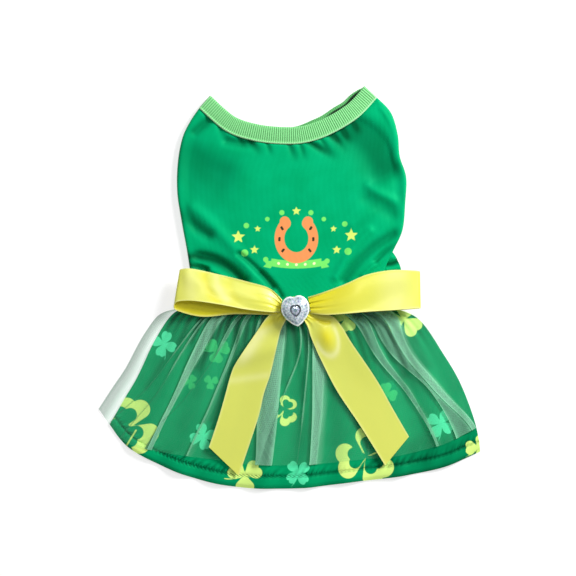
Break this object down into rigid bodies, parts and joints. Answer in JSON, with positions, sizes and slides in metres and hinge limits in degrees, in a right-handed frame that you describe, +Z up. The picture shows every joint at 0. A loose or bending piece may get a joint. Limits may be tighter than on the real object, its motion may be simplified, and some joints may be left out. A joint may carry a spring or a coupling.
{
  "type": "dog dress",
  "caption": "Small dog's dress laid flat: sleeveless knit bodice with a ribbed neck band, a printed skirt under a net overskirt, and a ribbon bow with a heart-shaped stone.",
  "frame": {"origin": "on the surface that the dress lies on, under the middle of its outline", "axes": "+Y from the hem to the neck, +Z up through the cloth, from the belly side to the print side"},
  "size_m": [0.2376, 0.2512, 0.0171],
  "materials": {
    "knit": "smooth green jersey knit",
    "rib": "pale green rib knit",
    "print": "green cloth printed with clover leaves",
    "net": "pale green see-through net",
    "satin": "glossy yellow satin ribbon",
    "stone": "clear faceted acrylic"
  },
  "bodies": {
    "root": {"bodice_back": "knit", "bodice_belly": "knit", "neck_band": "rib", "skirt_print": "print", "skirt_net": "net", "bow_loop_left": "satin", "bow_loop_right": "satin", "bow_tail_left": "satin", "bow_tail_right": "satin", "bow_knot": "satin", "heart_stone": "stone"}
  },
  "joints": []
}
